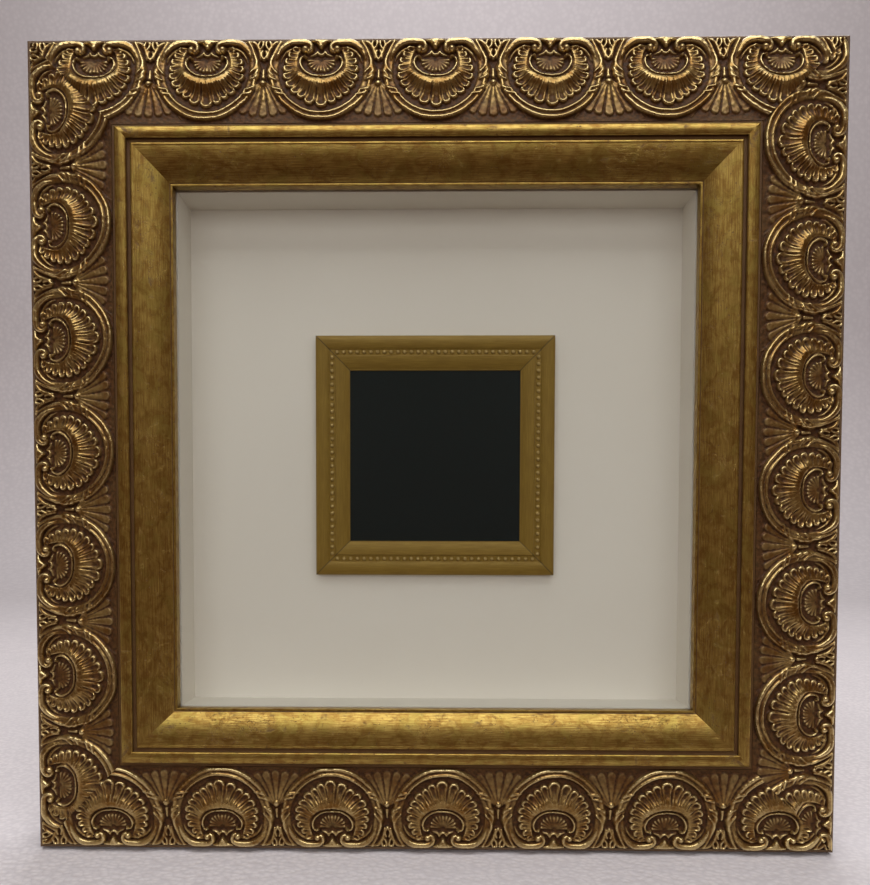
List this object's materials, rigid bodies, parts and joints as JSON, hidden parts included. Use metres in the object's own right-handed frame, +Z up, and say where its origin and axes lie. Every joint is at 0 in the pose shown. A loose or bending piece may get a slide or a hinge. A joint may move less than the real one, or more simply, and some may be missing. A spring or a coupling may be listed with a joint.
{
  "type": "floating frame",
  "caption": "Square gilt shadow-box display frame with pressed shell ornament and a small beaded frame floated on a pale mat behind glass.",
  "frame": {"origin": "middle of the underside, on the surface that the frame stands on, halfway between its front and its rearmost hardware", "axes": "+X to the viewer's right, +Y from the front to the back, +Z up"},
  "size_m": [0.305, 0.0419, 0.305],
  "materials": {
    "gilt_wood": "antique gold leaf over brown",
    "gilt_composition": "antique gold over brown, pressed composition",
    "small_gilt": "dull olive gold",
    "clear_glass": "clear",
    "white_spacer": "matt white",
    "mat_paper": "matt warm white",
    "foam_core": "matt white",
    "hardboard": "brown hardboard",
    "black_card": "black",
    "grey_card": "grey board",
    "pad_foam": "white foam tape",
    "blue_steel": "blued steel",
    "zinc_steel": "zinc plated",
    "fibre_washer": "red fibre",
    "brass_screw": "brass plated",
    "nickel_strap": "nickel plated",
    "nickel_ring": "nickel plated wire",
    "bumper_rubber": "dark rubber"
  },
  "bodies": {
    "frame": {"top_rail": "gilt_wood", "top_ornament": "gilt_composition", "top_spacer": "white_spacer", "small_top_rail": "small_gilt", "right_rail": "gilt_wood", "right_ornament": "gilt_composition", "right_spacer": "white_spacer", "small_right_rail": "small_gilt", "bottom_rail": "gilt_wood", "bottom_ornament": "gilt_composition", "bottom_spacer": "white_spacer", "small_bottom_rail": "small_gilt", "left_rail": "gilt_wood", "left_ornament": "gilt_composition", "left_spacer": "white_spacer", "small_left_rail": "small_gilt", "glazing": "clear_glass", "mat_board": "mat_paper", "foam_board": "foam_core", "backing_board": "hardboard", "centre_panel": "black_card", "backing_card": "grey_card", "float_pads": "pad_foam", "corner_v_nails": "blue_steel", "turn_button_washers": "fibre_washer", "turn_button_screws": "brass_screw", "hanger_screws": "brass_screw", "wall_bumpers": "bumper_rubber", "left_hanger_strap": "nickel_strap", "right_hanger_strap": "nickel_strap"},
    "top_turn_button": {"top_turn_button": "zinc_steel"},
    "right_turn_button": {"right_turn_button": "zinc_steel"},
    "bottom_turn_button": {"bottom_turn_button": "zinc_steel"},
    "left_turn_button": {"left_turn_button": "zinc_steel"},
    "left_hanger_ring": {"left_hanger_ring": "nickel_ring"},
    "right_hanger_ring": {"right_hanger_ring": "nickel_ring"}
  },
  "joints": [
    {"name": "top_button_turn", "type": "hinge", "parent": "frame", "child": "top_turn_button", "pos_m": [0, 0.01735, 0.265], "axis": [0, 1, 0], "continuous": true},
    {"name": "right_button_turn", "type": "hinge", "parent": "frame", "child": "right_turn_button", "pos_m": [0.1125, 0.01735, 0.1525], "axis": [0, 1, 0], "continuous": true},
    {"name": "bottom_button_turn", "type": "hinge", "parent": "frame", "child": "bottom_turn_button", "pos_m": [0, 0.01735, 0.04], "axis": [0, 1, 0], "continuous": true},
    {"name": "left_button_turn", "type": "hinge", "parent": "frame", "child": "left_turn_button", "pos_m": [-0.1125, 0.01735, 0.1525], "axis": [0, 1, 0], "continuous": true},
    {"name": "left_ring_swing", "type": "hinge", "parent": "frame", "child": "left_hanger_ring", "pos_m": [-0.1285, 0.0188, 0.225], "axis": [1, 0, 0], "range_deg": [0, 180]},
    {"name": "right_ring_swing", "type": "hinge", "parent": "frame", "child": "right_hanger_ring", "pos_m": [0.1285, 0.0188, 0.225], "axis": [1, 0, 0], "range_deg": [0, 180]}
  ]
}
